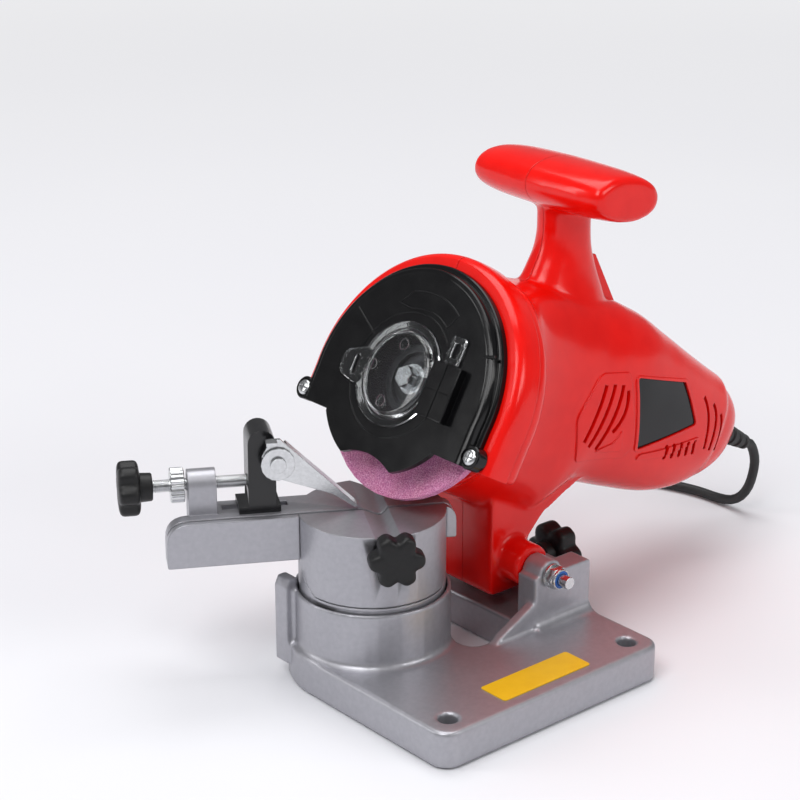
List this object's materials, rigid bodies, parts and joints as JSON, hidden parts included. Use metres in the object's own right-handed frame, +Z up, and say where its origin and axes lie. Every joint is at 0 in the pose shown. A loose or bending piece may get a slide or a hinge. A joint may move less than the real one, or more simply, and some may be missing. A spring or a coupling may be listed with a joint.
{
  "type": "electric saw chain sharpener",
  "caption": "Bench-top electric chain sharpener: tilting grinding head with a guarded wheel on a cast base with a swivelling chain vice.",
  "frame": {"origin": "where the vice's swivel axis meets the underside of the base, at the flush head of the swivel bolt", "axes": "+X from the vice towards the motor's tail, across the chain's straight-on direction; +Z up; the user stands at -Y"},
  "size_m": [0.4755, 0.2756, 0.2266],
  "materials": {
    "cast_aluminium": "satin",
    "red_shell": "gloss",
    "black_cover": "gloss",
    "knob_plastic": "satin",
    "bracket_paint": "gloss",
    "zinc_steel": "satin",
    "clear_pane": "gloss",
    "abrasive": "matte",
    "brass": "satin",
    "copper": "satin",
    "laminations": "satin",
    "cord_rubber": "matte",
    "yellow_label": "satin",
    "black_label": "gloss"
  },
  "bodies": {
    "base": {"base_casting": "cast_aluminium", "sticker_plate": "yellow_label", "pivot_bolt": "zinc_steel", "pivot_nut": "zinc_steel", "pivot_washer_near": "zinc_steel", "pivot_washer_far": "zinc_steel", "swivel_bolt": "zinc_steel", "swivel_washer": "zinc_steel", "cord_coil": "cord_rubber", "cord_run": "cord_rubber", "plug": "cord_rubber"},
    "turntable": {"turntable": "cast_aluminium", "stop_locknut": "zinc_steel"},
    "vice_jaw": {"front_jaw": "cast_aluminium"},
    "clamp": {"clamp_knob": "knob_plastic", "clamp_screw": "zinc_steel"},
    "chain_stop": {"stop_bracket": "bracket_paint", "pawl_pin": "zinc_steel", "pawl_washer": "zinc_steel"},
    "stop_adjuster": {"stop_knob": "knob_plastic", "stop_screw": "zinc_steel"},
    "pawl": {"stop_pawl": "zinc_steel"},
    "depth_rod": {"depth_screw": "zinc_steel"},
    "depth_adjuster": {"depth_knob": "knob_plastic"},
    "head": {"housing_near": "red_shell", "housing_far": "red_shell", "label_plate": "black_label", "housing_screw_1": "zinc_steel", "housing_screw_2": "zinc_steel", "housing_screw_3": "zinc_steel", "housing_screw_4": "zinc_steel", "housing_screw_5": "zinc_steel", "bearing_spindle_front": "zinc_steel", "bearing_spindle_rear": "zinc_steel", "bearing_motor_front": "zinc_steel", "bearing_motor_rear": "zinc_steel", "stator": "laminations", "field_coil_lower": "copper", "field_coil_upper": "copper", "brush_holder_near": "brass", "brush_holder_far": "brass", "switch_module": "black_cover", "wheel_cover": "black_cover", "cover_screw_near": "zinc_steel", "cover_screw_far": "zinc_steel", "cover_window": "clear_pane", "window_clip": "clear_pane", "strain_relief": "cord_rubber"},
    "wheel_spindle": {"grinding_wheel": "abrasive", "flange_inner": "zinc_steel", "flange_outer": "zinc_steel", "hub_bolt": "zinc_steel", "hub_washer": "zinc_steel", "spindle": "zinc_steel", "spindle_gear": "zinc_steel"},
    "motor_rotor": {"armature": "copper", "motor_fan": "black_cover", "motor_pinion": "zinc_steel"},
    "trigger": {"trigger": "red_shell"}
  },
  "joints": [
    {"name": "vice_swivel", "type": "hinge", "parent": "base", "child": "turntable", "pos_m": [0, 0, 0.03], "axis": [0, 0, 1], "range_deg": [-5, 65]},
    {"name": "jaw_slide", "type": "slide", "parent": "turntable", "child": "vice_jaw", "axis": [-0.5, -0.866, 0], "range_m": [0, 0.0015]},
    {"name": "clamp_turn", "type": "hinge", "parent": "vice_jaw", "child": "clamp", "pos_m": [-0.01706, -0.03634, 0.0744], "axis": [-0.5, -0.866, 0], "range_deg": [0, 540]},
    {"name": "stop_slide", "type": "slide", "parent": "turntable", "child": "chain_stop", "axis": [-0.866, 0.5, 0], "range_m": [-0.005, 0.008]},
    {"name": "stop_turn", "type": "hinge", "parent": "chain_stop", "child": "stop_adjuster", "pos_m": [-0.0801, 0.06126, 0.0939], "axis": [-0.866, 0.5, 0], "range_deg": [-1800, 2880]},
    {"name": "pawl_hinge", "type": "hinge", "parent": "chain_stop", "child": "pawl", "pos_m": [-0.03707, 0.0214, 0.107], "axis": [-0.5, -0.866, 0], "range_deg": [0, 12]},
    {"name": "depth_slide", "type": "slide", "parent": "base", "child": "depth_rod", "axis": [1, 0, 0], "range_m": [0, 0.01]},
    {"name": "depth_turn", "type": "hinge", "parent": "depth_rod", "child": "depth_adjuster", "pos_m": [0.112, 0, 0.0245], "axis": [1, 0, 0], "range_deg": [0, 3600]},
    {"name": "head_hinge", "type": "hinge", "parent": "base", "child": "head", "pos_m": [0.0696, 0, 0.0428], "axis": [0, 1, 0], "range_deg": [0, 16], "deforming": ["cord_run"]},
    {"name": "wheel_spin", "type": "hinge", "parent": "head", "child": "wheel_spindle", "pos_m": [0.031, 0, 0.1336], "axis": [0.866, 0, -0.5], "continuous": true},
    {"name": "motor_spin", "type": "hinge", "parent": "head", "child": "motor_rotor", "pos_m": [0.04562, 0, 0.15893], "axis": [0.866, 0, -0.5], "continuous": true},
    {"name": "trigger_hinge", "type": "hinge", "parent": "head", "child": "trigger", "pos_m": [0.146, 0, 0.1515], "axis": [0, -1, 0], "range_deg": [0, 4], "stiffness_Nm_per_rad": 2}
  ],
  "couplings": [
    {"joint": "clamp_turn", "follows": "jaw_slide", "rad_per_m": 6283.2},
    {"joint": "stop_turn", "follows": "stop_slide", "rad_per_m": 6283.2},
    {"joint": "depth_turn", "follows": "depth_slide", "rad_per_m": 6283.2},
    {"joint": "motor_spin", "follows": "wheel_spin", "ratio": -4.5714}
  ]
}
